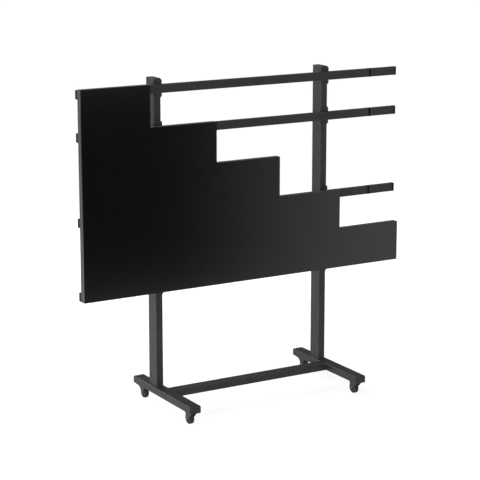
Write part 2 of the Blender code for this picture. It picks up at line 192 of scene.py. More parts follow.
def card(name, left, right, top, y):
    """Upright card that only reflections see, as its node tree and the strength of its glow."""
    bm = bmesh.new()
    size = Matrix.Diagonal(((right - left) / 2, top / 2, 1.0, 1.0))
    turn = Matrix.Rotation(math.pi / 2, 4, "X")
    middle = Matrix.Translation(((left + right) / 2, y, top / 2))
    bmesh.ops.create_grid(bm, x_segments=1, y_segments=1, size=1.0, matrix=middle @ turn @ size)
    material, tree, _ = new_material(name)
    tree.nodes.clear()
    glow = tree.nodes.new("ShaderNodeEmission")
    output = tree.nodes.new("ShaderNodeOutputMaterial")
    link(tree, glow.outputs[0], output.inputs["Surface"])
    obj = new_object(name, new_mesh(name, bm))
    obj.data.materials.append(material)
    obj.visible_camera = False
    obj.visible_diffuse = False
    obj.visible_shadow = False
    obj.visible_transmission = False
    return tree, glow.inputs["Strength"]


def own_place(tree):
    """The object's own coordinates in metres, as one socket for each axis."""
    place = tree.nodes.new("ShaderNodeTexCoord")
    apart = tree.nodes.new("ShaderNodeSeparateXYZ")
    link(tree, place.outputs["Object"], apart.inputs[0])
    return apart.outputs


def fade(tree, strength, axis, start, end, first, last):
    """Let a card's glow run smoothly from a first level to a last one along an axis."""
    ramp = spread(tree, own_place(tree)[axis], first, last, start, end)
    ramp.node.interpolation_type = "SMOOTHSTEP"
    link(tree, ramp, strength)


front_card = card("reflection_card", CARD_LEFT, CARD_RIGHT, CARD_TOP, -CARD_DISTANCE)
fade(*front_card, "X", CARD_BLACK_END, CARD_WHITE_START, 0.0, CARD_LEVEL)
back_board = card("back_board", BOARD_LEFT, BOARD_RIGHT, BOARD_TOP, BOARD_DISTANCE)
back_board[1].default_value = BOARD_LEVEL
side_board = card("side_board", SIDE_BOARD_LEFT, BOARD_LEFT, SIDE_BOARD_TOP, BOARD_DISTANCE)
fade(*side_board, "Z", 0.0, SIDE_BOARD_FADE, *SIDE_BOARD_LEVELS)


# Lamps: large soft boxes. The key lamp is on the left, so the left faces are the brightest, and
# one high up behind draws a thin line of light along the upper edges of the feet. Each is given
# as its name, place, aim, size and watts, and whether gloss mirrors it.
LAMPS = (
    ("key_lamp", (-9.0, -0.8, 2.6), (0.0, 0.0, 1.3), (4.5, 3.6), 300.0, False),
    ("front_lamp", (-4.0, -8.0, 2.4), (0.0, 0.0, 1.0), (4.0, 3.0), 330.0, True),
    ("back_lamp", (2.0, 7.0, 2.4), (0.0, 0.0, 1.3), (5.0, 2.5), 120.0, False),
    ("edge_lamp", (-1.8, 6.7, 4.15), (0.0, 0.0, 0.4), (3.0, 1.5), 200.0, True),
)
for name, place, aim, size, watts, mirrored in LAMPS:
    lamp = new_object(name, bpy.data.lights.new(name, "AREA"))
    lamp.data.shape = "RECTANGLE"
    lamp.data.size, lamp.data.size_y = size
    lamp.data.energy = watts
    lamp.location = place
    lamp.rotation_euler = (Vector(place) - Vector(aim)).to_track_quat("Z", "Y").to_euler()
    lamp.visible_glossy = mirrored


# Powder coat: the finish of the whole steel frame, a black polyester baked on the steel. It is
# satin with a fine orange peel, faint clouds and specks and slightly uneven gloss. Along its
# rounded edges it is painted lighter in patches: partly rubbed wear, partly a painted highlight
# that draws a light line along the edges.
COAT_COLOUR = (0.03, 0.03, 0.031)
CLOUD_SCALE = 5.0
SCUFF_SCALE = 38.0
GLOSS_SPREAD = 0.06
RUB_AND_HIGHLIGHT_SCALE = 55.0
RUB_AND_HIGHLIGHT_BAND = (0.48, 0.62)
PEEL_STRENGTH = 0.5
WAVE_STRENGTH = 0.3
WAVE_LENGTH = 5.0
WAVE_HEIGHT = 2.0


def noise(tree, scale, detail=3.0):
    """Noise on the object's own metres, as a value from 0 to 1."""
    place = tree.nodes.new("ShaderNodeTexCoord")
    texture = tree.nodes.new("ShaderNodeTexNoise")
    texture.inputs["Scale"].default_value = scale
    texture.inputs["Detail"].default_value = detail
    link(tree, place.outputs["Object"], texture.inputs["Vector"])
    return texture.outputs["Fac"]


def relief(tree, value, strength, distance, below=None):
    """Bump from a value, on top of another bump where one is given."""
    bump = tree.nodes.new("ShaderNodeBump")
    bump.inputs["Strength"].default_value = strength
    bump.inputs["Distance"].default_value = distance
    link(tree, value, bump.inputs["Height"])
    if below is not None:
        link(tree, below, bump.inputs["Normal"])
    return bump.outputs["Normal"]


def shade(tree, colour, amount):
    """A colour made darker or lighter by an amount near 1."""
    tint = tree.nodes.new("ShaderNodeVectorMath")
    tint.operation = "SCALE"
    tint.inputs[0].default_value = colour
    link(tree, amount, tint.inputs["Scale"])
    return tint.outputs["Vector"]


def finish(name, colour, roughness, grain, peel, specular=0.5, metallic=0.0, mottle=0.12, edge_wear_and_highlight=0.0):
    """Finish with mottled colour, uneven gloss and a fine grain. Where an amount for the edges is
    given, the rounded edges are painted lighter in patches: partly rubbed wear, partly a painted
    highlight. The grain is in bumps per metre, and the peel is their height."""
    material, tree, shader = new_material(name)
    shader.inputs["Metallic"].default_value = metallic
    shader.inputs["Specular IOR Level"].default_value = specular
    level = spread(tree, noise(tree, CLOUD_SCALE, 4.0), 1 - mottle, 1 + mottle)
    speck = spread(tree, noise(tree, grain, 2.0), 1 - 2 * mottle, 1 + 2 * mottle)
    level = calculate(tree, "MULTIPLY", level, speck)
    # Rounded edges painted lighter in patches: partly rubbed wear, partly a painted highlight.
    if edge_wear_and_highlight:
        edge = tree.nodes.new("ShaderNodeAttribute")
        edge.attribute_name = "rounded_edge"
        rubbed_and_highlit = spread(tree, noise(tree, RUB_AND_HIGHLIGHT_SCALE, 4.0), 0.0, edge_wear_and_highlight, *RUB_AND_HIGHLIGHT_BAND)
        rubbed_and_highlit = calculate(tree, "MULTIPLY", rubbed_and_highlit, edge.outputs["Fac"])
        level = calculate(tree, "ADD", level, rubbed_and_highlit)
    link(tree, shade(tree, colour, level), shader.inputs["Base Color"])
    scuffs = noise(tree, SCUFF_SCALE, 5.0)
    gloss = spread(tree, scuffs, roughness - GLOSS_SPREAD, roughness + GLOSS_SPREAD)
    link(tree, gloss, shader.inputs["Roughness"])
    wave = relief(tree, noise(tree, grain / WAVE_LENGTH, 2.0), WAVE_STRENGTH, peel * WAVE_HEIGHT)
    link(tree, relief(tree, noise(tree, grain), PEEL_STRENGTH, peel, wave), shader.inputs["Normal"])
    return material


powder_coat = finish(
    "black_powder_coat", COAT_COLOUR, roughness=0.41, grain=850.0, peel=0.00025, specular=0.2, edge_wear_and_highlight=0.9
)


# Posts, feet, crossbar and rails: cold formed steel tube with rounded corners. Each tube takes
# the size of its solid, and stops short of its end where a cap's flange covers it.
POST_WALL = 0.003
POST_CORNER = 0.004
FOOT_WALL = 0.003
FOOT_CORNER = 0.005
RAIL_WALL = 0.0025
RAIL_CORNER = 0.003
FLANGE = 0.003
CORNER_STEPS = 6
EDGE_STRIP = 0.002
SHARP_ANGLE = 40
STRAIGHT = 0.9


def block(bm, low, high):
    """Add a box between two corners, and give back its vertices."""
    low, high = Vector(low), Vector(high)
    matrix = Matrix.Translation((low + high) / 2) @ Matrix.Diagonal((*(high - low), 1.0))
    return bmesh.ops.create_cube(bm, size=1.0, matrix=matrix)["verts"]


def along(edge, axis):
    """Whether an edge runs along an axis."""
    run = edge.verts[0].co - edge.verts[1].co
    return abs(run[axis]) > STRAIGHT * run.length


def soften(bm, edges, width, segments=2):
    """Round some edges."""
    bmesh.ops.bevel(
        bm, geom=edges, offset=width, segments=segments, profile=0.5, affect="EDGES", material=-1
    )


def piece(name, bm, material, body="root", wall=0.0):
    """Object of a bmesh in place, smooth but for its corners, that rides on a body. Its narrow
    faces are marked as rounded edges, where a finish can paint them lighter, partly as wear and
    partly as a painted highlight."""
    edge = bm.faces.layers.float.new("rounded_edge")
    for face in bm.faces:
        face[edge] = float(min(item.calc_length() for item in face.edges) < EDGE_STRIP)
    mesh = new_mesh(name, bm)
    mesh.shade_smooth()
    mesh.set_sharp_from_angle(angle=math.radians(SHARP_ANGLE))
    mesh.materials.append(material)
    obj = new_object(name, mesh)
    if wall:
        shell = obj.modifiers.new("wall", "SOLIDIFY")
        shell.thickness = wall
        shell.offset = -1.0
        shell.use_even_offset = True
    shading = obj.modifiers.new("flat_faces_stay_flat", "WEIGHTED_NORMAL")
    shading.keep_sharp = True
    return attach(obj, body)


def tube(name, low, high, axis, wall, corner, node):
    """Open box tube with rounded corners, in place of a CAD node."""
    bm = bmesh.new()
    block(bm, low, high)
    ends = [face for face in bm.faces if abs(face.normal[axis]) > STRAIGHT]
    bmesh.ops.delete(bm, geom=ends, context="FACES_ONLY")
    soften(bm, [edge for edge in bm.edges if not edge.is_boundary], corner, CORNER_STEPS)
    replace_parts(piece(name, bm, powder_coat, wall=wall), node)


for side in ("left", "right"):
    low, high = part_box(f"post_{side}")
    top = high - Vector((0, 0, FLANGE))
    tube(f"post_tube_{side}", low, top, 2, POST_WALL, POST_CORNER, f"post_{side}")
    low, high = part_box(f"foot_{side}")
    trim = Vector((0, FLANGE, 0))
    tube(f"foot_tube_{side}", low + trim, high - trim, 1, FOOT_WALL, FOOT_CORNER, f"foot_{side}")
low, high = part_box("crossbar")
tube("crossbar_tube", low, high, 0, FOOT_WALL, FOOT_CORNER, "crossbar")
for number in (1, 2, 3, 4):
    low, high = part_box(f"rail_{number}_middle")
    tube(f"rail_tube_{number}", low, high, 0, RAIL_WALL, RAIL_CORNER, f"rail_{number}_middle")
    for side in ("left", "right"):
        node = f"rail_{number}_end_{side}"
        end_low, end_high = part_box(node)
        if side == "left":
            ends = (Vector((end_low.x, *low.yz)), Vector((low.x, *high.yz)))
        else:
            ends = (Vector((high.x, *low.yz)), Vector((end_high.x, *high.yz)))
        tube(f"rail_tube_{number}_{side}", *ends, 0, RAIL_WALL, RAIL_CORNER, node)


# Display faces: the LED modules of a cabinet, behind a black mask with a satin face. A lamp sits
# behind every 1.875 mm of the mask. The cast frame behind the modules has a dark powder coat.
PIXEL_PITCH = 0.001875
LAMP_COLOUR = (0.013, 0.013, 0.0135)
LAMP_START = 0.2
LAMP_END = 0.27
MODULE = (0.3, 0.16875)
MODULE_LEFT = -1.5
MODULE_BOTTOM = 0.992
MODULE_GAP = 0.00022
MODULE_DEPTH = 0.0135
FACE_COLOUR = (0.002, 0.002, 0.0021)
FACE_GLOSS = (0.19, 0.22)
FACE_SMUDGE_SCALE = 30.0
FACE_GRAIN = 1400.0
FACE_GRAIN_STRENGTH = 0.03
FACE_GRAIN_HEIGHT = 0.00003
CASTING_COLOUR = (0.034, 0.034, 0.036)
CASTING_GLOSS = (0.5, 0.6)
CASTING_SCUFF_SCALE = 40.0
DISPLAY_CLOUD_SCALE = 4.0
DISPLAY_CLOUDS = (0.9, 1.1)


def cell(tree, value, start, pitch):
    """Distance from the middle of a cell to a place along an axis, as a share of the pitch."""
    cells = calculate(tree, "DIVIDE", calculate(tree, "SUBTRACT", value, start), pitch)
    offset = calculate(tree, "SUBTRACT", calculate(tree, "FRACT", cells), 0.5)
    return calculate(tree, "ABSOLUTE", offset)


def blend(tree, kind, share, first, second):
    """Mix node of two colours or two values."""
    mix = tree.nodes.new("ShaderNodeMix")
    mix.data_type = kind
    link(tree, share, mix.inputs["Factor"])
    inputs = [socket for socket in mix.inputs if socket.enabled]
    link(tree, first, inputs[-2])
    link(tree, second, inputs[-1])
    return [socket for socket in mix.outputs if socket.enabled][0]


def display_material():
    """Mask, lamps and module joints on the front of a cabinet, and coated casting on the rest."""
    material, tree, shader = new_material("display_cabinet")
    place = own_place(tree)
    back = calculate(tree, "GREATER_THAN", place["Y"], MODULE_DEPTH)
    normal = tree.nodes.new("ShaderNodeNewGeometry")
    turned = tree.nodes.new("ShaderNodeSeparateXYZ")
    link(tree, normal.outputs["Normal"], turned.inputs[0])
    front = calculate(tree, "LESS_THAN", turned.outputs["Y"], -STRAIGHT)
    across = cell(tree, place["X"], MODULE_LEFT, PIXEL_PITCH)
    up = cell(tree, place["Z"], MODULE_BOTTOM, PIXEL_PITCH)
    squares = [calculate(tree, "POWER", value, 2.0) for value in (across, up)]
    radius = calculate(tree, "POWER", calculate(tree, "ADD", *squares), 0.5)
    lamps = calculate(tree, "MULTIPLY", spread(tree, radius, 1.0, 0.0, LAMP_START, LAMP_END), front)
    joints = []
    for axis, start, size in (("X", MODULE_LEFT, MODULE[0]), ("Z", MODULE_BOTTOM, MODULE[1])):
        near = cell(tree, place[axis], start, size)
        joints.append(calculate(tree, "GREATER_THAN", near, 0.5 - MODULE_GAP / size))
    joint = calculate(tree, "MULTIPLY", calculate(tree, "MAXIMUM", *joints), front)
    cloud = spread(tree, noise(tree, DISPLAY_CLOUD_SCALE, 4.0), *DISPLAY_CLOUDS)
    mask = blend(tree, "RGBA", lamps, shade(tree, FACE_COLOUR, cloud), shade(tree, LAMP_COLOUR, cloud))
    casting = shade(tree, CASTING_COLOUR, cloud)
    link(tree, blend(tree, "RGBA", back, mask, casting), shader.inputs["Base Color"])
    face_gloss = spread(tree, noise(tree, FACE_SMUDGE_SCALE, 5.0), *FACE_GLOSS)
    casting_gloss = spread(tree, noise(tree, CASTING_SCUFF_SCALE, 5.0), *CASTING_GLOSS)
    link(tree, blend(tree, "FLOAT", back, face_gloss, casting_gloss), shader.inputs["Roughness"])
    height = calculate(tree, "SUBTRACT", noise(tree, FACE_GRAIN), joint)
    grain = relief(tree, height, FACE_GRAIN_STRENGTH, FACE_GRAIN_HEIGHT)
    link(tree, grain, shader.inputs["Normal"])
    return material


def coat(node, material):
    """Give a CAD node its finish."""
    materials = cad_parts[node].data.materials
    materials.clear()
    materials.append(material)


display = display_material()
cabinets = {name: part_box(name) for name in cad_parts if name.startswith("cabinet")}
for name in cabinets:
    coat(name, display)


# Caps: black polyethylene mouldings pushed into the tube ends, with a flange as large as the
# tube. The posts have one on top, and each foot has one at its front and one at its back.
CAP_COLOUR = (0.022, 0.022, 0.023)
CAP_EDGE = 0.001
CAP_BORDER = 0.0024
CAP_SINK = 0.0005
LID_EDGE_STEPS = 3

cap_plastic = finish(
    "black_moulded_cap", CAP_COLOUR, roughness=0.5, grain=500.0, peel=0.00006, specular=0.3, mottle=0.08
)


def outer_face(bm, axis, outward):
    """Largest face that looks straight out along an axis."""
    return max(bm.faces, key=lambda face: (round(face.normal[axis] * outward, 3), face.calc_area()))


def lid(low, high, axis, outward, corner, edge, border, sink):
    """Bmesh of a moulded lid: rounded corners and edges, and a shallow panel sunk in its face."""
    bm = bmesh.new()
    block(bm, low, high)
    soften(bm, [item for item in bm.edges if along(item, axis)], corner, CORNER_STEPS)
    soften(bm, list(outer_face(bm, axis, outward).edges), edge, LID_EDGE_STEPS)
    face = outer_face(bm, axis, outward)
    bmesh.ops.inset_region(bm, faces=[face], thickness=border, use_even_offset=True)
    bmesh.ops.inset_region(bm, faces=[face], thickness=sink, depth=-sink, use_even_offset=True)
    return bm


def flange(name, low, high, axis, outward, corner):
    """Cap's flange on a tube end."""
    bm = lid(low, high, axis, outward, corner, CAP_EDGE, CAP_BORDER, CAP_SINK)
    piece(name, bm, cap_plastic)


for side in ("left", "right"):
    low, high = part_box(f"post_{side}")
    flange(f"post_cap_{side}", Vector((*low.xy, high.z - FLANGE)), high, 2, 1, POST_CORNER)
    low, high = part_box(f"foot_{side}")
    front = Vector((high.x, low.y + FLANGE, high.z))
    back = Vector((low.x, high.y - FLANGE, low.z))
    flange(f"foot_cap_front_{side}", low, front, 1, -1, FOOT_CORNER)
    flange(f"foot_cap_back_{side}", back, high, 1, 1, FOOT_CORNER)


# Rail caps and collars: thin black mouldings that grip the rail from outside. A cap closes each
# end, and a collar hides the joint where an end length plugs into the middle one. The collar is
# near black and nearly without gloss: painted shade, standing for the shadowed gap at the joint.
COLLAR_SHADE_COLOUR = (0.0015, 0.0015, 0.0015)
RAIL_CAP_COLOUR = (0.004, 0.004, 0.0042)
SLEEVE_FRONT = 0.0002
SLEEVE_PROUD = 0.0009
SLEEVE_CORNER = 0.0032
CAP_GRIP = 0.017
CAP_END = 0.0033
COLLAR_HALF = 0.008

# Collar colour: painted shade for the shadowed gap at the rail joint.
collar_painted_shade = finish(
    "joint_shade_collar", COLLAR_SHADE_COLOUR, roughness=0.8, grain=700.0, peel=0.00006, specular=0.04
)
rail_cap_plastic = finish(
    "black_rail_cap", RAIL_CAP_COLOUR, roughness=0.55, grain=600.0, peel=0.00006, specular=0.15
)


def sleeve(name, start, end, low, high, material, cap=0):
    """Sleeve round a rail from one x to another. A cap also has its end wall rounded."""
    bm = bmesh.new()
    bottom = (start, low.y - SLEEVE_FRONT, low.z - SLEEVE_PROUD)
    top = (end, high.y + SLEEVE_PROUD, high.z + SLEEVE_PROUD)
    block(bm, bottom, top)
    soften(bm, [edge for edge in bm.edges if along(edge, 0)], SLEEVE_CORNER, CORNER_STEPS)
    if cap:
        soften(bm, list(outer_face(bm, 0, cap).edges), CAP_EDGE, LID_EDGE_STEPS)
    piece(name, bm, material)


for number in (1, 2, 3, 4):
    low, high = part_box(f"rail_{number}_middle")
    for side, out, joint in (("left", -1, low.x), ("right", 1, high.x)):
        ends = (joint - COLLAR_HALF, joint + COLLAR_HALF)
        sleeve(f"rail_collar_{number}_{side}", *ends, low, high, collar_painted_shade)
        tube_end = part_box(f"rail_{number}_end_{side}")[out > 0].x
        ends = sorted((tube_end - out * CAP_GRIP, tube_end + out * CAP_END))
        sleeve(f"rail_cap_{number}_{side}", *ends, low, high, rail_cap_plastic, out)


# Plates and bolts: each mounting plate is flat steel with the frame's coat, held to its post by
# black hexagon bolts with flat washers. Zinc plated button heads on the back of a rail go through
# it into the cabinets' corner bosses.
BOLT_COLOUR = (0.045, 0.045, 0.047)
ZINC_COLOUR = (0.3, 0.305, 0.31)
BOLT_HEIGHT = 0.055
HEAD_RADIUS = 0.0075
HEAD_THICKNESS = 0.0053
HEAD_EDGE = 0.0007
WASHER_RADIUS = 0.0088
WASHER_THICKNESS = 0.0016
WASHER_EDGE = 0.0003
BUTTON_RADIUS = 0.0057
BUTTON_THICKNESS = 0.0033
BUTTON_EDGE = 0.0022
SOCKET_RADIUS = 0.0023
SOCKET_DEPTH = 0.0016
BOSS_ACROSS = 0.262
BOSS_UP = 0.1295

black_bolt = finish("black_bolt", BOLT_COLOUR, roughness=0.4, grain=1200.0, peel=0.00004, metallic=0.5)
zinc = finish(
    "zinc_plate", ZINC_COLOUR, roughness=0.42, grain=900.0, peel=0.00003, metallic=1.0, mottle=0.16
)


def facing(place, out):
    """Matrix that stands something built along +Z at a place, with its axis pointing out."""
    turn = Vector((0, 0, 1)).rotation_difference(Vector(out)).to_matrix().to_4x4()
    return Matrix.Translation(Vector(place)) @ turn


def disc(bm, matrix, radius, thickness, base=0.0, segments=24, edge=0.0):
    """Add a disc or a prism that stands on a base height, with its top edge rounded."""
    rise = Matrix.Translation((0, 0, base + thickness / 2))
    made = bmesh.ops.create_cone(
        bm, cap_ends=True, segments=segments, radius1=radius, radius2=radius,
        depth=thickness, matrix=matrix @ rise,
    )
    out = (matrix.to_3x3() @ Vector((0, 0, 1))).normalized()
    faces = {face for vert in made["verts"] for face in vert.link_faces}
    top = max(faces, key=lambda face: (face.normal.dot(out), len(face.verts)))
    if edge:
        soften(bm, list(top.edges), edge)
        near = matrix @ Vector((0, 0, base + thickness))
        top = min(bm.faces, key=lambda face: (face.calc_center_median() - near).length)
    return top


def hollow(bm, top, border, travel):
    """Sink a face inside a border, by a travel along its normal."""
    bmesh.ops.inset_region(bm, faces=[top], thickness=border, use_even_offset=True)
    sunk = bmesh.ops.extrude_discrete_faces(bm, faces=[top])["faces"][0]
    bmesh.ops.translate(bm, vec=travel, verts=sunk.verts)


def hexagon_bolt(bm, place, out):
    """Flat washer and hexagon head."""
    matrix = facing(place, out)
    disc(bm, matrix, WASHER_RADIUS, WASHER_THICKNESS, edge=WASHER_EDGE)
    disc(bm, matrix, HEAD_RADIUS, HEAD_THICKNESS, WASHER_THICKNESS, segments=6, edge=HEAD_EDGE)


def button_bolt(bm, place, out):
    """Thin washer and a domed head with a round socket."""
    matrix = facing(place, out)
    disc(bm, matrix, WASHER_RADIUS, WASHER_THICKNESS / 2, edge=WASHER_EDGE)
    top = disc(bm, matrix, BUTTON_RADIUS, BUTTON_THICKNESS, WASHER_THICKNESS / 2, edge=BUTTON_EDGE)
    hollow(bm, top, BUTTON_RADIUS - BUTTON_EDGE - SOCKET_RADIUS, Vector(out) * -SOCKET_DEPTH)


bm = bmesh.new()
for number in (1, 2, 3, 4):
    for side in ("left", "right"):
        coat(f"plate_{number}_{side}", powder_coat)
        low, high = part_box(f"plate_{number}_{side}")
        middle = (low + high) / 2
        for height in (-BOLT_HEIGHT, BOLT_HEIGHT):
            hexagon_bolt(bm, (middle.x, low.y, middle.z + height), (0, -1, 0))
piece("plate_bolts", bm, black_bolt)

rails = [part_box(f"rail_{number}_middle") for number in (1, 2, 3, 4)]
bm = bmesh.new()
for low, high in cabinets.values():
    middle = (low + high) / 2
    for up in (-BOSS_UP, BOSS_UP):
        for rail_low, rail_high in rails:
            if rail_low.z < middle.z + up < rail_high.z:
                for across in (-BOSS_ACROSS, BOSS_ACROSS):
                    button_bolt(bm, (middle.x + across, rail_high.y, middle.z + up), (0, 1, 0))
piece("cabinet_bolts", bm, zinc)


# Welds: a fillet bead all round the foot of each post, and one round each end of the crossbar.
# They are laid by hand, so their width ripples, and they have the same powder coat.
BEAD_RADIUS = 0.0034
BEAD_SIDES = 2
BEAD_STEP = 0.0028
BEAD_SINK = 0.0008
BEAD_RIPPLE = 0.13
RIPPLES = ((1.0, 1.9, 0.0), (0.6, 0.7, 1.0))
LOOP_TURNS = 3


def rounded_loop(half_a, half_b, corner):
    """Points round a rectangle with rounded corners, about a bead's step apart."""
    points = []
    for quarter, (sign_a, sign_b) in enumerate(((1, 1), (-1, 1), (-1, -1), (1, -1))):
        centre = (sign_a * (half_a - corner), sign_b * (half_b - corner))
        for turn in range(LOOP_TURNS + 1):
            angle = (quarter + turn / LOOP_TURNS) * math.pi / 2
            reach = (corner * math.cos(angle), corner * math.sin(angle))
            points.append((centre[0] + reach[0], centre[1] + reach[1]))
    filled = []
    for start, end in zip(points, points[1:] + points[:1]):
        pieces = max(1, round(math.dist(start, end) / BEAD_STEP))
        for part in range(pieces):
            share = part / pieces
            filled.append(tuple(a + (b - a) * share for a, b in zip(start, end)))
    return filled


def round_curve(name, points, radius, sides):
    """Round curve along some points, and its spline."""
    data = bpy.data.curves.new(name, "CURVE")
    data.dimensions = "3D"
    data.bevel_depth = radius
    data.bevel_resolution = sides
    spline = data.splines.new("POLY")
    spline.points.add(len(points) - 1)
    for point, place in zip(spline.points, points):
        point.co = (*place, 1.0)
    return data, spline


def bead(name, points):
    """Weld bead along a closed run of points."""
    data, spline = round_curve(name, points, BEAD_RADIUS, BEAD_SIDES)
    spline.use_cyclic_u = True
    for index, point in enumerate(spline.points):
        wave = sum(size * math.sin(index * rate + start) for size, rate, start in RIPPLES)
        point.radius = 1.0 + BEAD_RIPPLE * wave
    data.materials.append(powder_coat)
    obj = new_object(name, data)
    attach(obj, "root")


for side in ("left", "right"):
    low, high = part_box(f"post_{side}")
    middle = (low + high) / 2
    half = (high - low) / 2
    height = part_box(f"foot_{side}")[1].z + BEAD_SINK
    loop = rounded_loop(half.x, half.y, POST_CORNER)
    bead(f"post_weld_{side}", [(middle.x + a, middle.y + b, height) for a, b in loop])
low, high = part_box("crossbar")
middle = (low + high) / 2
half = (high - low) / 2
loop = rounded_loop(half.y - BEAD_SINK, half.z - 2 * BEAD_SINK, FOOT_CORNER)
for side, x in (("left", low.x), ("right", high.x)):
    bead(f"crossbar_weld_{side}", [(x, middle.y + a, middle.z + b) for a, b in loop])


# Cabinet castings: the back of each cabinet is one aluminium die casting, painted dark grey. Thin
# ribs join its rim to the raised housing, which has cooling fins, and the corners have bosses.
BACK_COLOUR = (0.05, 0.051, 0.054)
CHANNEL_FLOOR = 0.0135
HOUSING_TOP = 0.0481
RIM = 0.012
CHANNEL = 0.052
RIB_TOP = 0.051
RIB_HALF = 0.0016
RIB_DRAFT = 0.0008
RIB_PLACES = (-0.2, -0.1, 0.0, 0.1, 0.2)
SIDE_RIB_PLACES = (-0.085, 0.0, 0.085)
FIN_START = 0.166
FIN_PITCH = 0.0058
FINS = 11
FIN_HALF = 0.0011
FIN_REACH = 0.088
FIN_TOP = 0.0548
FIN_DRAFT = 0.0005
BOSS_RADIUS = 0.0105
BOSS_EDGE = 0.0008
BOSS_BORE = 0.0034
BOSS_TOP = 0.0598
BOSS_DEPTH = 0.02
OUT = (0, 1, 0)

casting_coat = finish(
    "casting_coat", BACK_COLOUR, roughness=0.58, grain=420.0, peel=0.00018, specular=0.3, mottle=0.1
)

first_low, first_high = next(iter(cabinets.values()))
half = (first_high - first_low) / 2
housing = (half.x - RIM - CHANNEL, half.z - RIM - CHANNEL)
inside = (half.x - RIM, half.z - RIM)


def on_cabinets(name, bm, material):
    """Put a copy of a template, built about a cabinet's middle, on every cabinet."""
    for cabinet, (low, high) in cabinets.items():
        middle = (low + high) / 2
        copy = bm.copy()
        bmesh.ops.translate(copy, vec=(middle.x, 0.0, middle.z), verts=copy.verts)
        piece(f"{name}_{cabinet.removeprefix('cabinet_')}", copy, material)
    bm.free()


def crest(verts, axis, height):
    """Edges of these vertices that lie above a height along an axis."""
    edges = {edge for vert in verts for edge in vert.link_edges}
    return [edge for edge in edges if all(vert.co[axis] > height for vert in edge.verts)]


def ridge(bm, low, high, draft):
    """Block that stands up towards +Y with its top edges rounded."""
    soften(bm, crest(block(bm, low, high), 1, high[1] - draft), draft)


bm = bmesh.new()
for across in RIB_PLACES:
    for low_z, high_z in ((housing[1], inside[1]), (-inside[1], -housing[1])):
        low = (across - RIB_HALF, CHANNEL_FLOOR, low_z)
        ridge(bm, low, (across + RIB_HALF, RIB_TOP, high_z), RIB_DRAFT)
for up in SIDE_RIB_PLACES:
    for low_x, high_x in ((housing[0], inside[0]), (-inside[0], -housing[0])):
        low = (low_x, CHANNEL_FLOOR, up - RIB_HALF)
        ridge(bm, low, (high_x, RIB_TOP, up + RIB_HALF), RIB_DRAFT)
for side in (-1, 1):
    for fin in range(FINS):
        across = side * (FIN_START + fin * FIN_PITCH)
        low = (across - FIN_HALF, HOUSING_TOP, -FIN_REACH)
        ridge(bm, low, (across + FIN_HALF, FIN_TOP, FIN_REACH), FIN_DRAFT)
for across in (-BOSS_ACROSS, BOSS_ACROSS):
    for up in (-BOSS_UP, BOSS_UP):
        matrix = facing((across, CHANNEL_FLOOR, up), OUT)
        top = disc(bm, matrix, BOSS_RADIUS, BOSS_TOP - CHANNEL_FLOOR, edge=BOSS_EDGE)
        hollow(bm, top, BOSS_RADIUS - BOSS_EDGE - BOSS_BORE, (0, -BOSS_DEPTH, 0))
on_cabinets("casting", bm, casting_coat)


# Control covers: a black moulded cover on each housing holds the electronics. It has a sunk
# panel, cooling louvres, sockets for power and data along its foot, and a test button between
# them. A zinc plated screw holds each corner.
COVER_COLOUR = (0.02, 0.02, 0.021)
COVER_HALF = (0.12, 0.083)
COVER_TOP = 0.0562
COVER_CORNER = 0.009
COVER_EDGE = 0.0016
PANEL_BORDER = 0.0055
PANEL_SINK = 0.0009
PANEL_INSIDE = COVER_TOP - 2 * PANEL_SINK
LOUVRE_PLACE = 0.055
LOUVRE_ROWS = 9
LOUVRE_PITCH = 0.0062
LOUVRE_START = 0.012
LOUVRE_HALF = (0.038, 0.0014)
LOUVRE_TOP = 0.057
LOUVRE_DRAFT = 0.0006
SOCKET_COLOUR = (0.008, 0.008, 0.009)
SOCKET_UP = -0.052
POWER_PLACES = (-0.092, -0.062)
POWER_RADIUS = 0.0125
POWER_RISE = 0.0048
POWER_EDGE = 0.0008
POWER_WALL = 0.0022
POWER_SINK = 0.006
CORE_RADIUS = 0.0055
CORE_BASE = -0.002
CORE_HEIGHT = 0.0036
CORE_EDGE = 0.0005
DATA_PLACES = (0.05, 0.078)
DATA_HALF = (0.0105, 0.0095)
DATA_TOP = 0.0588
DATA_WALL = 0.003
DATA_SINK = 0.008
BUTTON_SIZE = (0.0042, 0.0032)
SCREW_INSET = 0.0032
SCREW_SIZE = (0.0024, 0.0009)
SCREW_EDGE = 0.0004

cover_plastic = finish(
    "cover_plastic", COVER_COLOUR, roughness=0.45, grain=650.0, peel=0.00008, specular=0.4, mottle=0.06
)
socket_plastic = finish(
    "socket_plastic", SOCKET_COLOUR, roughness=0.35, grain=800.0, peel=0.00004, mottle=0.05
)

low = (-COVER_HALF[0], HOUSING_TOP, -COVER_HALF[1])
high = (COVER_HALF[0], COVER_TOP, COVER_HALF[1])
bm = lid(low, high, 1, 1, COVER_CORNER, COVER_EDGE, PANEL_BORDER, PANEL_SINK)
for across in (-LOUVRE_PLACE, LOUVRE_PLACE):
    for row in range(LOUVRE_ROWS):
        up = LOUVRE_START + row * LOUVRE_PITCH
        low = (across - LOUVRE_HALF[0], PANEL_INSIDE, up - LOUVRE_HALF[1])
        ridge(bm, low, (across + LOUVRE_HALF[0], LOUVRE_TOP, up + LOUVRE_HALF[1]), LOUVRE_DRAFT)
on_cabinets("cover", bm, cover_plastic)

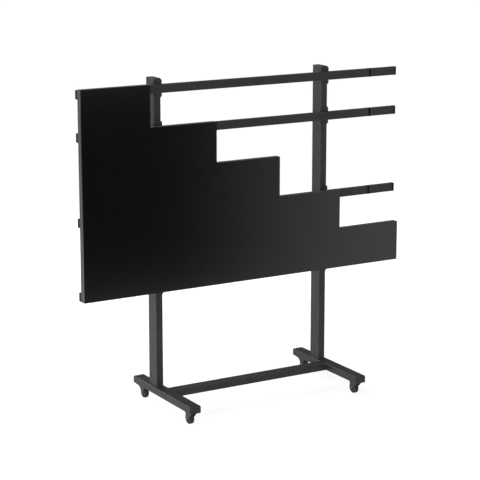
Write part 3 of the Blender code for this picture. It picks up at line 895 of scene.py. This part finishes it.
bm = bmesh.new()
for across in POWER_PLACES:
    matrix = facing((across, PANEL_INSIDE, SOCKET_UP), OUT)
    top = disc(bm, matrix, POWER_RADIUS, POWER_RISE, segments=32, edge=POWER_EDGE)
    hollow(bm, top, POWER_WALL, (0, -POWER_SINK, 0))
    disc(bm, matrix, CORE_RADIUS, CORE_HEIGHT, CORE_BASE, segments=20, edge=CORE_EDGE)
for across in DATA_PLACES:
    low = (across - DATA_HALF[0], PANEL_INSIDE, SOCKET_UP - DATA_HALF[1])
    verts = block(bm, low, (across + DATA_HALF[0], DATA_TOP, SOCKET_UP + DATA_HALF[1]))
    top = max({face for vert in verts for face in vert.link_faces}, key=lambda face: face.normal.y)
    hollow(bm, top, DATA_WALL, (0, -DATA_SINK, 0))
disc(bm, facing((0.0, PANEL_INSIDE, SOCKET_UP), OUT), *BUTTON_SIZE, edge=POWER_EDGE)
on_cabinets("sockets", bm, socket_plastic)

bm = bmesh.new()
for across in (SCREW_INSET - COVER_HALF[0], COVER_HALF[0] - SCREW_INSET):
    for up in (SCREW_INSET - COVER_HALF[1], COVER_HALF[1] - SCREW_INSET):
        disc(bm, facing((across, COVER_TOP, up), OUT), *SCREW_SIZE, segments=16, edge=SCREW_EDGE)
on_cabinets("cover_screws", bm, zinc)


# Handles: two steel bar handles beside the cover, for lifting the cabinet on to the rails. They
# are bent from 7 mm rod and screwed to the housing through small round feet.
HANDLE_COLOUR = (0.03, 0.03, 0.031)
HANDLE_PLACE = 0.143
HANDLE_HALF = 0.056
HANDLE_RADIUS = 0.0036
HANDLE_SIDES = 3
HANDLE_RISE = 0.0556
HANDLE_BEND = 0.006
BEND_STEPS = 6
HANDLE_FOOT = (0.0065, 0.0022)
FOOT_EDGE = 0.0008
SAME_PLACE = 0.00001

handle_coat = finish(
    "handle_coat", HANDLE_COLOUR, roughness=0.38, grain=900.0, peel=0.00005, specular=0.45
)


def add_rod(bm, points, radius):
    """Add a round rod with closed ends along some points."""
    data, _ = round_curve("handle_rod", points, radius, HANDLE_SIDES)
    data.use_fill_caps = True
    guide = new_object("handle_rod", data)
    depsgraph = bpy.context.evaluated_depsgraph_get()
    mesh = bpy.data.meshes.new_from_object(guide.evaluated_get(depsgraph))
    bm.from_mesh(mesh)
    bpy.data.objects.remove(guide)
    bpy.data.meshes.remove(mesh)


bm = bmesh.new()
for across in (-HANDLE_PLACE, HANDLE_PLACE):
    route = [(across, HOUSING_TOP, -HANDLE_HALF)]
    for end in (-1, 1):
        for step in range(BEND_STEPS + 1):
            angle = math.pi / 2 * (step / BEND_STEPS if end < 0 else 1 - step / BEND_STEPS)
            rise = HANDLE_RISE - HANDLE_BEND + HANDLE_BEND * math.sin(angle)
            reach = HANDLE_HALF - HANDLE_BEND + HANDLE_BEND * math.cos(angle)
            route.append((across, rise, end * reach))
    route.append((across, HOUSING_TOP, HANDLE_HALF))
    add_rod(bm, route, HANDLE_RADIUS)
    for up in (-HANDLE_HALF, HANDLE_HALF):
        disc(bm, facing((across, HOUSING_TOP, up), OUT), *HANDLE_FOOT, edge=FOOT_EDGE)
bmesh.ops.remove_doubles(bm, verts=bm.verts, dist=SAME_PLACE)
on_cabinets("handles", bm, handle_coat)


# Side latches: a lever on each side locks a cabinet to its neighbour. Each has a moulded body in
# the channel, a turning lever on it, and a zinc plated pivot screw.
LATCH_PLACE = 0.262
LATCH_UP = 0.042
LATCH_BODY = (0.012, 0.024)
LATCH_TOP = 0.036
LATCH_DRAFT = 0.0015
COLLET_SIZE = (0.0085, 0.0045)
COLLET_EDGE = 0.001
LEVER_HALF = 0.0045
LEVER_LENGTH = 0.03
LEVER_FOOT = 0.0035
LEVER_TOP = 0.0455
LEVER_DRAFT = 0.0012
LEVER_HUB = 0.0065
HUB_HEIGHT = LEVER_TOP - LATCH_TOP + 0.0004
PIVOT_SIZE = (0.0034, 0.0018)
PIVOT_EDGE = 0.0008

bm = bmesh.new()
screws = bmesh.new()
for across in (-LATCH_PLACE, LATCH_PLACE):
    for side in (-1, 1):
        centre = Vector((across, 0, side * LATCH_UP))
        low = centre + Vector((-LATCH_BODY[0], CHANNEL_FLOOR, -LATCH_BODY[1]))
        ridge(bm, low, centre + Vector((LATCH_BODY[0], LATCH_TOP, LATCH_BODY[1])), LATCH_DRAFT)
        matrix = facing(centre + Vector((0, LATCH_TOP, 0)), OUT)
        disc(bm, matrix, *COLLET_SIZE, segments=28, edge=COLLET_EDGE)
        reach = side * LEVER_LENGTH
        low = centre + Vector((-LEVER_HALF, LATCH_TOP + LEVER_FOOT, min(0, reach)))
        ridge(bm, low, centre + Vector((LEVER_HALF, LEVER_TOP, max(0, reach))), LEVER_DRAFT)
        disc(bm, matrix, LEVER_HUB, HUB_HEIGHT, edge=LEVER_DRAFT)
        disc(screws, matrix, *PIVOT_SIZE, HUB_HEIGHT, segments=16, edge=PIVOT_EDGE)
on_cabinets("latches", bm, cover_plastic)
on_cabinets("latch_screws", screws, zinc)


# Castors: pressed steel forks on ball races, with black rubber tyres on dark grey nylon wheels.
# The tyre and the wheel body take the place of the plain solid, and the axle bolt of its pin.
# Hexagon bolts hold the top plate, and the brake pedal has a ribbed rubber pad. The forks,
# plates and pedals are a little darker than the frame's coat: painted shade for the shadow
# under the feet.
TYRE_COLOUR = (0.022, 0.022, 0.0225)
NYLON_COLOUR = (0.045, 0.045, 0.047)
CASTOR_SHADED_COLOUR = (0.026, 0.026, 0.027)
WHEEL_STEPS = 72
WHEEL_RADIUS = 0.0473
TREAD_HALF = 0.0172
TREAD_ROUND = 0.006
TREAD_TURN = 75
TREAD_STEPS = 6
TYRE_INNER = 0.0355
TYRE_SINK = 0.0006
LIP_WIDTH = 0.002
LIP_SINK = 0.0014
SEAM = 0.0002
RIM_FACE = 0.0035
RIM_SLOPE = 0.0045
WEB_HALF = 0.0075
WEB_DISH = 0.0008
HUB_RADIUS = 0.0125
HUB_FOOT = 0.0012
HUB_HALF = 0.0193
HUB_EDGE = 0.0008
BORE_RADIUS = 0.0043
PIN_RADIUS = 0.0039
PIN_HEAD = 0.004
AXLE_WASHER = (0.0075, 0.0008)
AXLE_WASHER_EDGE = 0.0002
AXLE_HEX = (0.0069, 0.003)
AXLE_HEX_EDGE = 0.0006
PLATE_BOLT = 0.034
PLATE_THICKNESS = 0.004
MOUNT_HEAD = (0.0062, 0.0034)
MOUNT_EDGE = 0.0005
PAD_RIBS = 5
PAD_PITCH = 0.004
PAD_START = 0.0055
PAD_HALF = (0.0105, 0.0011)
PAD_RISE = 0.0011
PAD_SINK = 0.0005
PAD_EDGE = 0.0005
PEDAL_NOSE = 0.0018
PEDAL_SLOPE = 0.118

rubber = finish(
    "tyre_rubber", TYRE_COLOUR, roughness=0.72, grain=700.0, peel=0.0001, specular=0.25, mottle=0.2
)
nylon = finish(
    "wheel_nylon", NYLON_COLOUR, roughness=0.5, grain=500.0, peel=0.00006, specular=0.35, mottle=0.1
)
# Castor steel: darker than the frame's coat, as painted shade for the shadow under the feet.
pressed_steel_painted_shade = finish(
    "castor_coat_painted_shade", CASTOR_SHADED_COLOUR, roughness=0.42, grain=700.0, peel=0.00007, specular=0.25
)


def turned(profile, centre):
    """Bmesh of a closed (radius, along) profile spun about the X axis through a centre."""
    bm = bmesh.new()
    verts = [bm.verts.new((x, 0.0, radius)) for radius, x in profile]
    for first, second in zip(verts, verts[1:] + verts[:1]):
        bm.edges.new((first, second))
    bmesh.ops.spin(
        bm, geom=bm.verts[:] + bm.edges[:], cent=(0, 0, 0), axis=(1, 0, 0),
        angle=2 * math.pi, steps=WHEEL_STEPS, use_merge=True,
    )
    bmesh.ops.remove_doubles(bm, verts=bm.verts, dist=SAME_PLACE / 10)
    bmesh.ops.recalc_face_normals(bm, faces=bm.faces)
    bmesh.ops.translate(bm, vec=centre, verts=bm.verts)
    return bm


tyre_half = []
for step in range(TREAD_STEPS + 1):
    angle = math.radians(TREAD_TURN * step / TREAD_STEPS)
    radius = WHEEL_RADIUS - TREAD_ROUND + TREAD_ROUND * math.cos(angle)
    tyre_half.append((radius, TREAD_HALF - TREAD_ROUND + TREAD_ROUND * math.sin(angle)))
tyre_half += [(TYRE_INNER + LIP_WIDTH, TREAD_HALF - TYRE_SINK), (TYRE_INNER, TREAD_HALF - LIP_SINK)]
tyre_profile = [(radius, -x) for radius, x in tyre_half[::-1]] + tyre_half
rim_half = [
    (TYRE_INNER - SEAM, TREAD_HALF - TYRE_SINK),
    (TYRE_INNER - RIM_FACE, TREAD_HALF - TYRE_SINK),
    (TYRE_INNER - RIM_SLOPE, WEB_HALF),
    (HUB_RADIUS + HUB_FOOT, WEB_HALF - WEB_DISH),
    (HUB_RADIUS, HUB_HALF - HUB_EDGE),
    (HUB_RADIUS - HUB_EDGE, HUB_HALF),
    (BORE_RADIUS, HUB_HALF),
]
rim_profile = [(radius, -x) for radius, x in rim_half] + rim_half[::-1]

for place in ("front_left", "front_right", "rear_left", "rear_right"):
    for node in ("castor_fork", "brake_pedal", "castor_plate"):
        coat(f"{node}_{place}", pressed_steel_painted_shade)

    low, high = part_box(f"castor_wheel_{place}")
    centre = (low + high) / 2
    wheel = f"wheel_{place}"
    tyre = piece(f"tyre_{place}", turned(tyre_profile, centre), rubber, wheel)
    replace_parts(tyre, f"castor_wheel_{place}")
    piece(f"wheel_body_{place}", turned(rim_profile, centre), nylon, wheel)

    low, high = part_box(f"castor_axle_{place}")
    seat = max(abs(low.x - centre.x), abs(high.x - centre.x)) - PIN_HEAD
    bm = bmesh.new()
    for out in (-1, 1):
        matrix = facing((centre.x + out * seat, centre.y, centre.z), (out, 0, 0))
        disc(bm, matrix, *AXLE_WASHER, edge=AXLE_WASHER_EDGE)
        disc(bm, matrix, *AXLE_HEX, AXLE_WASHER[1], segments=6, edge=AXLE_HEX_EDGE)
    matrix = facing((centre.x - seat, centre.y, centre.z), (1, 0, 0))
    disc(bm, matrix, PIN_RADIUS, 2 * seat)
    axle = piece(f"axle_bolt_{place}", bm, zinc, f"castor_{place}")
    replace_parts(axle, f"castor_axle_{place}")

    low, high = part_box(f"castor_plate_{place}")
    middle = (low + high) / 2
    bm = bmesh.new()
    for across in (-PLATE_BOLT, PLATE_BOLT):
        for back in (-PLATE_BOLT, PLATE_BOLT):
            spot = (middle.x + across, middle.y + back, high.z - PLATE_THICKNESS)
            disc(bm, facing(spot, (0, 0, -1)), *MOUNT_HEAD, segments=6, edge=MOUNT_EDGE)
    piece(f"castor_bolts_{place}", bm, zinc)

    low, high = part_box(f"brake_pedal_{place}")
    out = 1 if place.startswith("front") else -1
    end = high.y if out > 0 else low.y
    bm = bmesh.new()
    for rib in range(PAD_RIBS):
        inward = PAD_START + rib * PAD_PITCH
        top = high.z - (inward - PEDAL_NOSE) * PEDAL_SLOPE
        spot = Vector((centre.x, end - out * inward, top))
        verts = block(bm, spot - Vector((*PAD_HALF, PAD_SINK)), spot + Vector((*PAD_HALF, PAD_RISE)))
        soften(bm, crest(verts, 2, top), PAD_EDGE)
    piece(f"pedal_pad_{place}", bm, rubber, f"pedal_{place}")
